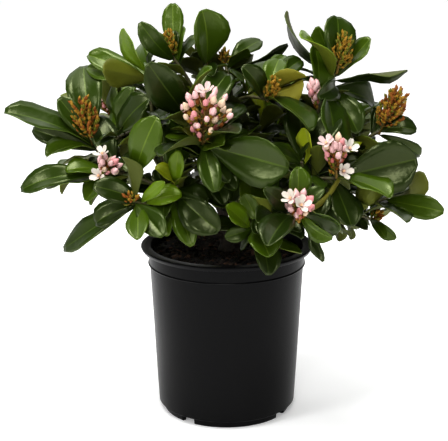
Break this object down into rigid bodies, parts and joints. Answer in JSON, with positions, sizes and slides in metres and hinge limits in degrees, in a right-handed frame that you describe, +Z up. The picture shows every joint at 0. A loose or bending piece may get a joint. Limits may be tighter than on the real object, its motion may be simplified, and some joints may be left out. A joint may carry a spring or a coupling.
{
  "type": "potted indian hawthorn",
  "caption": "Low, wide evergreen shrub with whorls of leathery leaves, flower clusters and pink buds, in a round nursery pot that stands on its own flat feet.",
  "frame": {"origin": "on the floor, on the axis of the pot: within 3 mm of the middle of the whole plant's bounds in X and Y, at the height of the flat undersides of the pot's feet", "axes": "+X to the right as the plant is first seen, +Y away from that side, +Z up along the pot's axis"},
  "size_m": [0.4082, 0.3216, 0.3911],
  "materials": {
    "pot_plastic": "satin",
    "bark_mix": "matte",
    "stem_bark": "matte",
    "leaf_green": "satin"
  },
  "bodies": {
    "root": {"pot": "pot_plastic", "potting_mix": "bark_mix", "trunk": "stem_bark", "bough_back": "stem_bark", "bough_back_left": "stem_bark", "bough_back_right": "stem_bark", "bough_back_top": "stem_bark", "bough_centre": "stem_bark", "bough_front": "stem_bark", "bough_front_left": "stem_bark", "bough_front_right": "stem_bark", "bough_left": "stem_bark", "bough_low_back_left": "stem_bark", "bough_low_back_right": "stem_bark", "bough_low_front": "stem_bark", "bough_low_left": "stem_bark", "bough_low_right": "stem_bark", "bough_right": "stem_bark", "bough_top": "stem_bark", "bough_top_left": "stem_bark", "bough_top_right": "stem_bark", "bough_upper_left": "stem_bark", "foliage_back": "leaf_green", "foliage_back_left": "leaf_green", "foliage_back_right": "leaf_green", "foliage_back_top": "leaf_green", "foliage_centre": "leaf_green", "foliage_front": "leaf_green", "foliage_front_left": "leaf_green", "foliage_front_right": "leaf_green", "foliage_left": "leaf_green", "foliage_low_back_left": "leaf_green", "foliage_low_back_right": "leaf_green", "foliage_low_front": "leaf_green", "foliage_low_left": "leaf_green", "foliage_low_right": "leaf_green", "foliage_right": "leaf_green", "foliage_top": "leaf_green", "foliage_top_left": "leaf_green", "foliage_top_right": "leaf_green", "foliage_upper_left": "leaf_green"}
  },
  "joints": []
}
